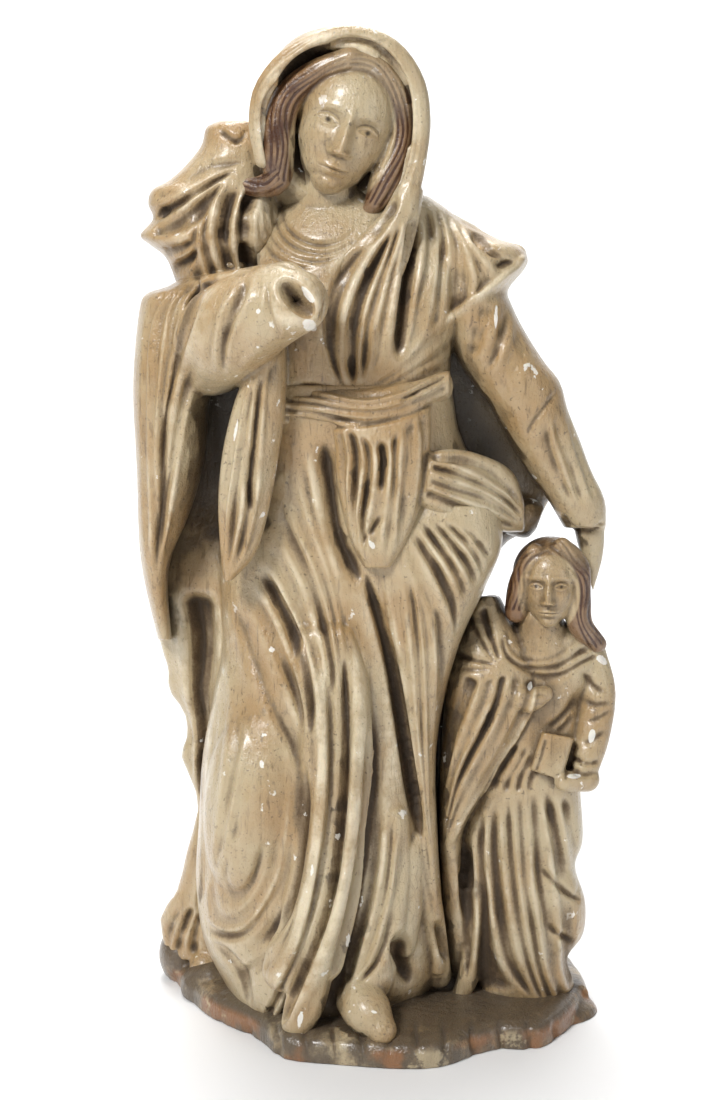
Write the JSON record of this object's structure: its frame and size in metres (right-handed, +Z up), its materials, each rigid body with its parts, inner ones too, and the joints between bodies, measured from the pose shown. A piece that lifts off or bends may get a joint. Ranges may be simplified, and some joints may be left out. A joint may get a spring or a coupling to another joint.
{
  "type": "carved saint statuette",
  "caption": "Polychrome carved alabaster statuette of a veiled standing saint with her hand on the head of a child who holds a book, both robed, on a rocky ground slab.",
  "frame": {"origin": "middle of the group's box, on the flat underside of the ground slab", "axes": "+Z up, the saint faces -Y, the child stands at +X"},
  "size_m": [0.1936, 0.1282, 0.3994],
  "materials": {
    "alabaster": "worn, waxed alabaster, cream on the folds and brown with old dirt in the valleys, with traces of paint in the hair"
  },
  "bodies": {
    "root": {"carved_group": "alabaster"}
  },
  "joints": []
}
